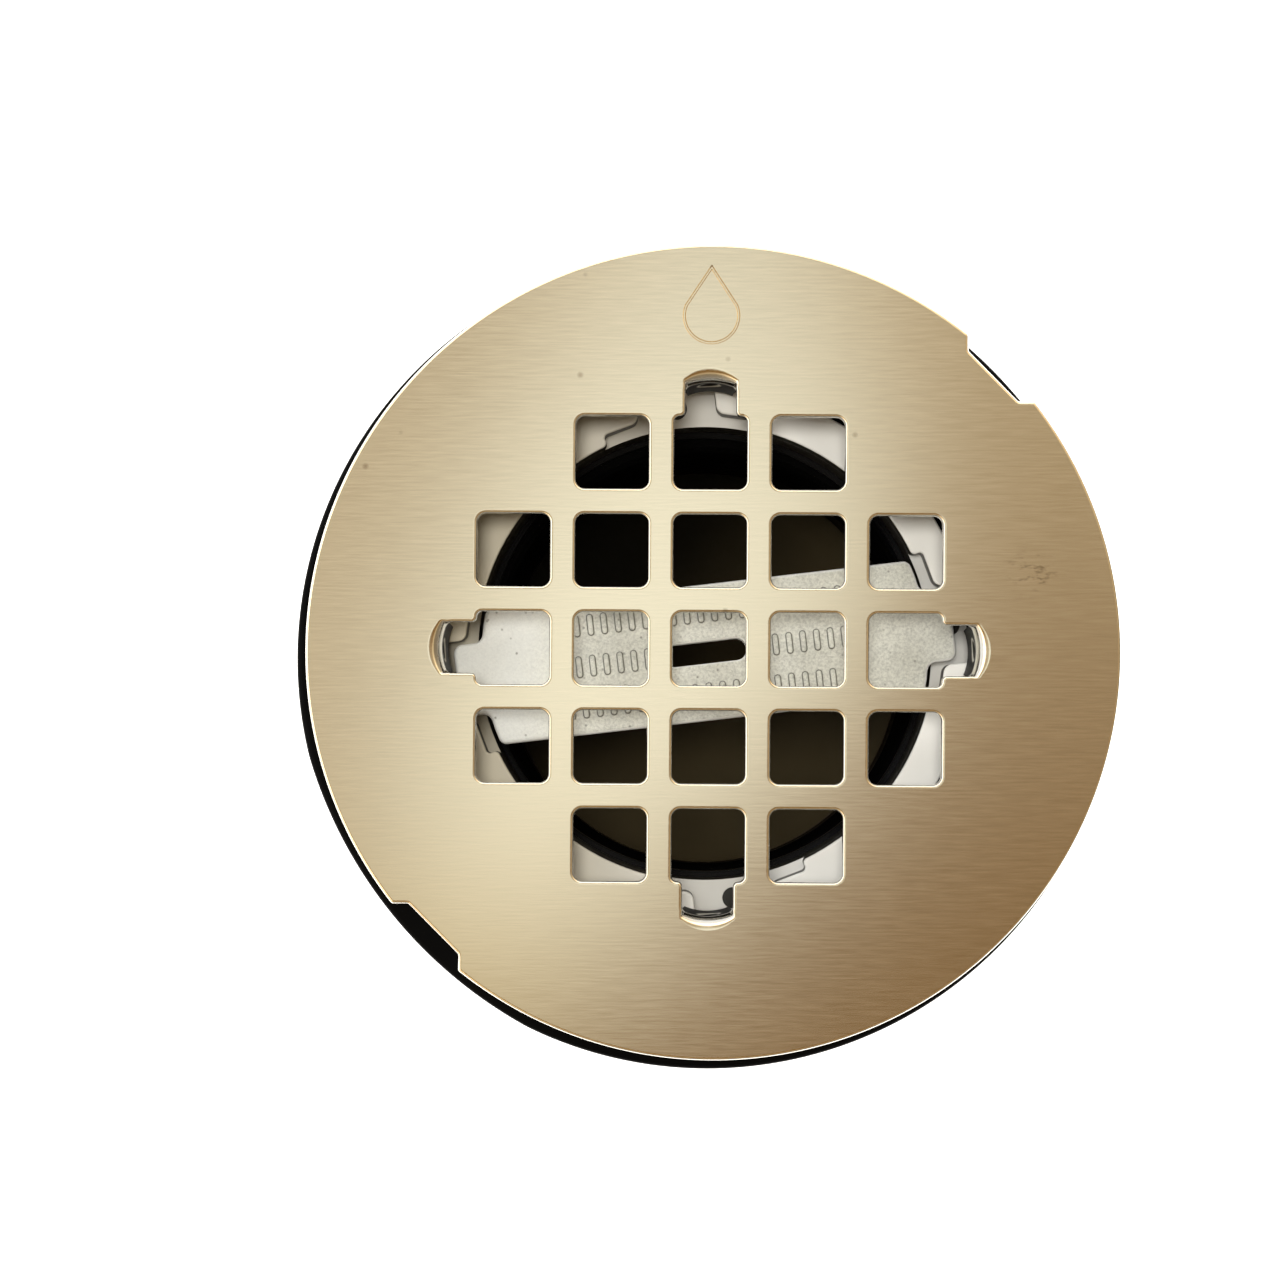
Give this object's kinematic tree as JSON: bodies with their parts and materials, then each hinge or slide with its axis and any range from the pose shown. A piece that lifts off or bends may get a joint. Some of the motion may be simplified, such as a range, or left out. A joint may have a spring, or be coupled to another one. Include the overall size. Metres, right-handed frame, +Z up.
{
  "type": "shower floor drain with snap-in strainer",
  "caption": "Round snap-in floor drain strainer on a no-caulk shower drain body, with its gasket, nut, tightening key, washers and locknut.",
  "frame": {"origin": "centre of the bottom of the drain body, on the axis of its bore, on the surface that the drain stands on", "axes": "+Z up along the bore, out of the floor; +X and +Y along the rows and columns of the strainer's holes, within half a degree"},
  "size_m": [0.1094, 0.1094, 0.06],
  "materials": {
    "strainer_metal": "fine straight brushing, champagne bronze tint",
    "body_plastic": "moulded, satin to gloss",
    "nut_plastic": "moulded, satin",
    "ring_plastic": "moulded, satin to gloss",
    "gasket_rubber": "moulded, matte",
    "key_zinc": "die-cast zinc, grainy as cast",
    "washer_rubber": "moulded, matte",
    "friction_fibre": "pressed fibre sheet",
    "locknut_plastic": "moulded, satin"
  },
  "bodies": {
    "drain_body": {"drain_body": "body_plastic", "compression_gasket": "gasket_rubber"},
    "strainer": {"strainer": "strainer_metal"},
    "slip_ring": {"slip_ring": "ring_plastic"},
    "compression_nut": {"compression_nut": "nut_plastic"},
    "tightening_key": {"tightening_key": "key_zinc"},
    "washers": {"sealing_washer": "washer_rubber", "friction_washer": "friction_fibre"},
    "locknut": {"locknut": "locknut_plastic"}
  },
  "joints": [
    {"name": "strainer_lift", "type": "slide", "parent": "drain_body", "child": "strainer", "axis": [0, 0, 1], "range_m": [0, 0.03]},
    {"name": "nut_travel", "type": "slide", "parent": "drain_body", "child": "slip_ring", "axis": [0, 0, 1], "range_m": [-0.0048, 0], "deforming": ["compression_gasket"]},
    {"name": "nut_turn", "type": "hinge", "parent": "slip_ring", "child": "compression_nut", "pos_m": [-0.0002, 0.00105, 0.044], "axis": [0, 0, 1], "range_deg": [-540, 0]},
    {"name": "key_lift", "type": "slide", "parent": "compression_nut", "child": "tightening_key", "axis": [0, 0, 1], "range_m": [0, 0.006]},
    {"name": "washer_travel", "type": "slide", "parent": "drain_body", "child": "washers", "axis": [0, 0, 1], "range_m": [-0.016, 0]},
    {"name": "locknut_turn", "type": "hinge", "parent": "washers", "child": "locknut", "pos_m": [0, 0, 0.0448], "axis": [0, 0, 1], "range_deg": [-1800, 0]}
  ],
  "couplings": [
    {"joint": "nut_travel", "follows": "nut_turn", "m_per_rad": 0.0005093},
    {"joint": "washer_travel", "follows": "locknut_turn", "m_per_rad": 0.0005093}
  ]
}
